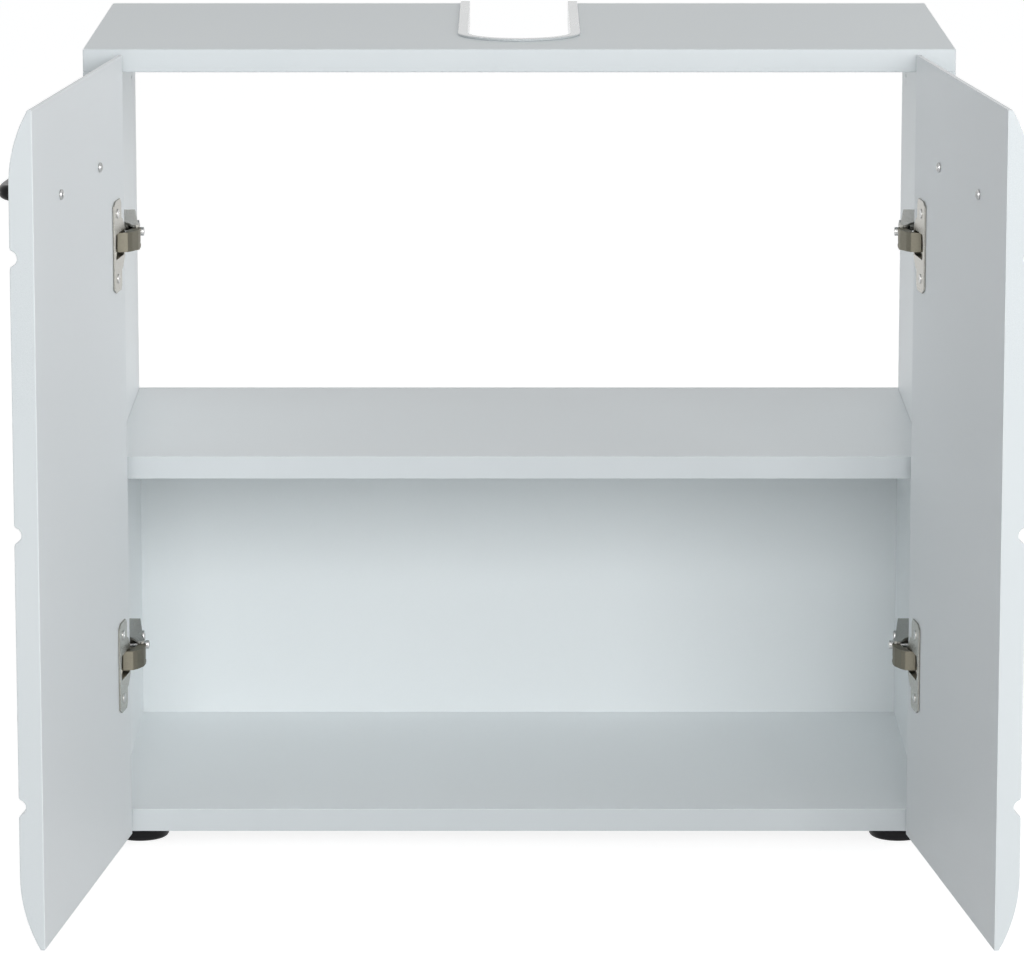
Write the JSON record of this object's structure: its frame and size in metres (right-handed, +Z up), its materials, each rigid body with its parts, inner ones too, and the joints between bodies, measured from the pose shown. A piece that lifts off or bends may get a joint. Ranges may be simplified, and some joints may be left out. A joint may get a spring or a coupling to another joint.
{
  "type": "sink base cabinet",
  "caption": "White washbasin base cabinet: open-backed upper compartment, shelf, U-shaped siphon cut-out in the top, and curved, grooved doors on concealed hinges, shown open.",
  "frame": {"origin": "on the floor, in the middle of the footprint measured with both doors standing open", "axes": "+Z up, +X to the right of a person facing the doors, +Y from the doors towards the wall"},
  "size_m": [0.6812, 0.596, 0.5716],
  "materials": {
    "white_board": "satin white laminate on chipboard",
    "white_front": "semi-gloss white foil on moulded fibreboard",
    "hardboard": "white lacquered hardboard",
    "black_plastic": "satin moulded",
    "black_metal": "satin black lacquer",
    "white_plastic": "glossy moulded",
    "nickel": "nickel-plated pressed steel",
    "zinc": "bright zinc"
  },
  "bodies": {
    "carcass": {"top_panel": "white_board", "left_side_panel": "white_board", "right_side_panel": "white_board", "bottom_panel": "white_board", "shelf": "white_board", "back_panel": "hardboard", "cutout_trim": "white_plastic", "foot_front_left": "black_plastic", "foot_front_right": "black_plastic", "foot_rear_left": "black_plastic", "foot_rear_right": "black_plastic", "cam_front_left": "white_plastic", "cam_bolt_front_left": "zinc", "carcass_screw_front_left": "zinc", "cam_rear_left": "white_plastic", "cam_bolt_rear_left": "zinc", "carcass_screw_rear_left": "zinc", "cam_front_right": "white_plastic", "cam_bolt_front_right": "zinc", "carcass_screw_front_right": "zinc", "cam_rear_right": "white_plastic", "cam_bolt_rear_right": "zinc", "carcass_screw_rear_right": "zinc", "left_lower_hinge_arm": "nickel", "left_lower_hinge_plate": "nickel", "left_lower_hinge_screw": "zinc", "left_lower_hinge_adjuster": "zinc", "left_upper_hinge_arm": "nickel", "left_upper_hinge_plate": "nickel", "left_upper_hinge_screw": "zinc", "left_upper_hinge_adjuster": "zinc", "right_lower_hinge_arm": "nickel", "right_lower_hinge_plate": "nickel", "right_lower_hinge_screw": "zinc", "right_lower_hinge_adjuster": "zinc", "right_upper_hinge_arm": "nickel", "right_upper_hinge_plate": "nickel", "right_upper_hinge_screw": "zinc", "right_upper_hinge_adjuster": "zinc"},
    "left_door": {"left_door": "white_front", "left_handle": "black_metal", "left_handle_screw_inner": "zinc", "left_handle_screw_outer": "zinc", "left_lower_hinge_cup": "nickel", "left_upper_hinge_cup": "nickel"},
    "left_main_links": {"left_lower_hinge_link": "nickel", "left_upper_hinge_link": "nickel"},
    "left_guide_links": {"left_lower_hinge_guide_link": "nickel", "left_upper_hinge_guide_link": "nickel"},
    "right_door": {"right_door": "white_front", "right_handle": "black_metal", "right_handle_screw_inner": "zinc", "right_handle_screw_outer": "zinc", "right_lower_hinge_cup": "nickel", "right_upper_hinge_cup": "nickel"},
    "right_main_links": {"right_lower_hinge_link": "nickel", "right_upper_hinge_link": "nickel"},
    "right_guide_links": {"right_lower_hinge_guide_link": "nickel", "right_upper_hinge_guide_link": "nickel"}
  },
  "joints": [
    {"name": "left_main_link_swing", "type": "hinge", "parent": "carcass", "child": "left_main_links", "pos_m": [-0.26466, 0.00831, 0.2915], "axis": [0, 0, 1], "range_deg": [-37.87, 1.23]},
    {"name": "left_door_swing", "type": "hinge", "parent": "left_main_links", "child": "left_door", "pos_m": [-0.27765, -0.01311, 0.2915], "axis": [0, 0, 1], "range_deg": [-4.03, 134.87]},
    {"name": "left_guide_link_swing", "type": "hinge", "parent": "carcass", "child": "left_guide_links", "pos_m": [-0.26526, 0.01462, 0.2915], "axis": [0, 0, 1], "range_deg": [-40.59, 1.31]},
    {"name": "right_main_link_swing", "type": "hinge", "parent": "carcass", "child": "right_main_links", "pos_m": [0.26466, 0.00831, 0.2915], "axis": [0, 0, -1], "range_deg": [-37.87, 1.23]},
    {"name": "right_door_swing", "type": "hinge", "parent": "right_main_links", "child": "right_door", "pos_m": [0.27765, -0.01311, 0.2915], "axis": [0, 0, -1], "range_deg": [-4.03, 134.87]},
    {"name": "right_guide_link_swing", "type": "hinge", "parent": "carcass", "child": "right_guide_links", "pos_m": [0.26526, 0.01462, 0.2915], "axis": [0, 0, -1], "range_deg": [-40.59, 1.31]}
  ],
  "couplings": [
    {"joint": "left_main_link_swing", "follows": "left_door_swing", "ratio": -0.28006},
    {"joint": "left_guide_link_swing", "follows": "left_door_swing", "ratio": -0.30022},
    {"joint": "right_main_link_swing", "follows": "right_door_swing", "ratio": -0.28006},
    {"joint": "right_guide_link_swing", "follows": "right_door_swing", "ratio": -0.30022}
  ]
}
